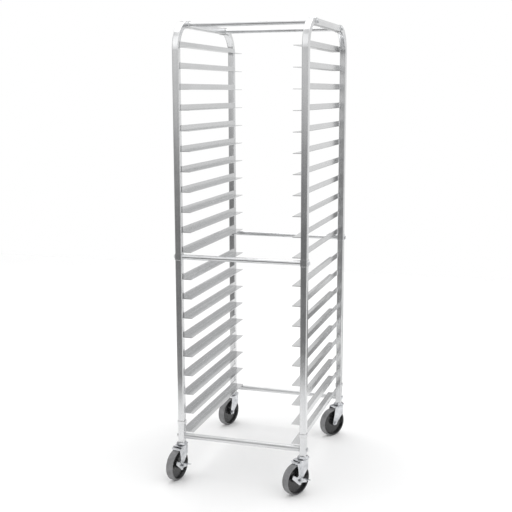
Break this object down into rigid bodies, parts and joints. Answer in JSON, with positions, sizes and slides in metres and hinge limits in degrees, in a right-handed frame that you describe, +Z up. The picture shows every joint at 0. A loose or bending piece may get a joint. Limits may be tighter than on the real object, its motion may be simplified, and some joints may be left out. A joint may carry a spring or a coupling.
{
  "type": "sheet pan rack",
  "caption": "Tall open rack of square tube with rows of angle slides for sheet pans, loaded from the front, on swivel casters with brakes at the front.",
  "frame": {"origin": "on the floor, below the middle of the four uprights", "axes": "+X to the rack's right seen from its loading end, +Y to its back, +Z up"},
  "size_m": [0.5696, 0.7624, 1.7621],
  "materials": {
    "tube_aluminium": "satin extruded tube",
    "slide_aluminium": "satin extruded angle",
    "zinc_steel": "bright zinc plate on pressed steel",
    "hub_plastic": "glossy black moulding",
    "tread_polyurethane": "matt grey polyurethane"
  },
  "bodies": {
    "frame": {"upper_upright_front_left": "tube_aluminium", "upper_upright_front_right": "tube_aluminium", "upper_upright_rear_left": "tube_aluminium", "upper_upright_rear_right": "tube_aluminium", "lower_upright_front_left": "tube_aluminium", "lower_upright_front_right": "tube_aluminium", "lower_upright_rear_left": "tube_aluminium", "lower_upright_rear_right": "tube_aluminium", "foot_front_left": "tube_aluminium", "foot_front_right": "tube_aluminium", "foot_rear_left": "tube_aluminium", "foot_rear_right": "tube_aluminium", "top_rail_left": "tube_aluminium", "top_rail_right": "tube_aluminium", "crossbar_front_top": "tube_aluminium", "crossbar_rear_top": "tube_aluminium", "crossbar_front_middle": "tube_aluminium", "crossbar_rear_middle": "tube_aluminium", "crossbar_front_bottom": "tube_aluminium", "crossbar_rear_bottom": "tube_aluminium", "crossbar_bolts": "zinc_steel", "slides_01": "slide_aluminium", "slides_02": "slide_aluminium", "slides_03": "slide_aluminium", "slides_04": "slide_aluminium", "slides_05": "slide_aluminium", "slides_06": "slide_aluminium", "slides_07": "slide_aluminium", "slides_08": "slide_aluminium", "slides_09": "slide_aluminium", "slides_10": "slide_aluminium", "slides_11": "slide_aluminium", "slides_12": "slide_aluminium", "slides_13": "slide_aluminium", "slides_14": "slide_aluminium", "slides_15": "slide_aluminium", "slides_16": "slide_aluminium", "slides_17": "slide_aluminium", "slides_18": "slide_aluminium", "slides_19": "slide_aluminium", "slides_20": "slide_aluminium", "caster_stems": "zinc_steel"},
    "swivel_front_left": {"fork_front_left": "zinc_steel", "axle_front_left": "zinc_steel"},
    "wheel_front_left": {"wheel_hub_front_left": "hub_plastic", "wheel_tread_front_left": "tread_polyurethane"},
    "brake_front_left": {"brake_lever_front_left": "zinc_steel"},
    "swivel_front_right": {"fork_front_right": "zinc_steel", "axle_front_right": "zinc_steel"},
    "wheel_front_right": {"wheel_hub_front_right": "hub_plastic", "wheel_tread_front_right": "tread_polyurethane"},
    "brake_front_right": {"brake_lever_front_right": "zinc_steel"},
    "swivel_rear_left": {"fork_rear_left": "zinc_steel", "axle_rear_left": "zinc_steel"},
    "wheel_rear_left": {"wheel_hub_rear_left": "hub_plastic", "wheel_tread_rear_left": "tread_polyurethane"},
    "swivel_rear_right": {"fork_rear_right": "zinc_steel", "axle_rear_right": "zinc_steel"},
    "wheel_rear_right": {"wheel_hub_rear_right": "hub_plastic", "wheel_tread_rear_right": "tread_polyurethane"}
  },
  "joints": [
    {"name": "swivel_front_left", "type": "hinge", "parent": "frame", "child": "swivel_front_left", "pos_m": [-0.2453, -0.3198, 0.132], "axis": [0, 0, 1], "continuous": true},
    {"name": "wheel_front_left", "type": "hinge", "parent": "swivel_front_left", "child": "wheel_front_left", "pos_m": [-0.25284, -0.35857, 0.06], "axis": [0.9816, -0.1908, 0], "continuous": true},
    {"name": "brake_front_left", "type": "hinge", "parent": "swivel_front_left", "child": "brake_front_left", "pos_m": [-0.25284, -0.35857, 0.06], "axis": [0.9816, -0.1908, 0], "range_deg": [0, 24]},
    {"name": "swivel_front_right", "type": "hinge", "parent": "frame", "child": "swivel_front_right", "pos_m": [0.2453, -0.3198, 0.132], "axis": [0, 0, 1], "continuous": true},
    {"name": "wheel_front_right", "type": "hinge", "parent": "swivel_front_right", "child": "wheel_front_right", "pos_m": [0.22555, -0.35401, 0.06], "axis": [0.866, -0.5, 0], "continuous": true},
    {"name": "brake_front_right", "type": "hinge", "parent": "swivel_front_right", "child": "brake_front_right", "pos_m": [0.22555, -0.35401, 0.06], "axis": [0.866, -0.5, 0], "range_deg": [0, 24]},
    {"name": "swivel_rear_left", "type": "hinge", "parent": "frame", "child": "swivel_rear_left", "pos_m": [-0.2453, 0.3198, 0.132], "axis": [0, 0, 1], "continuous": true},
    {"name": "wheel_rear_left", "type": "hinge", "parent": "swivel_rear_left", "child": "wheel_rear_left", "pos_m": [-0.25751, 0.28223, 0.06], "axis": [0.9511, -0.309, 0], "continuous": true},
    {"name": "swivel_rear_right", "type": "hinge", "parent": "frame", "child": "swivel_rear_right", "pos_m": [0.2453, 0.3198, 0.132], "axis": [0, 0, 1], "continuous": true},
    {"name": "wheel_rear_right", "type": "hinge", "parent": "swivel_rear_right", "child": "wheel_rear_right", "pos_m": [0.22264, 0.28744, 0.06], "axis": [0.8192, -0.5736, 0], "continuous": true}
  ]
}
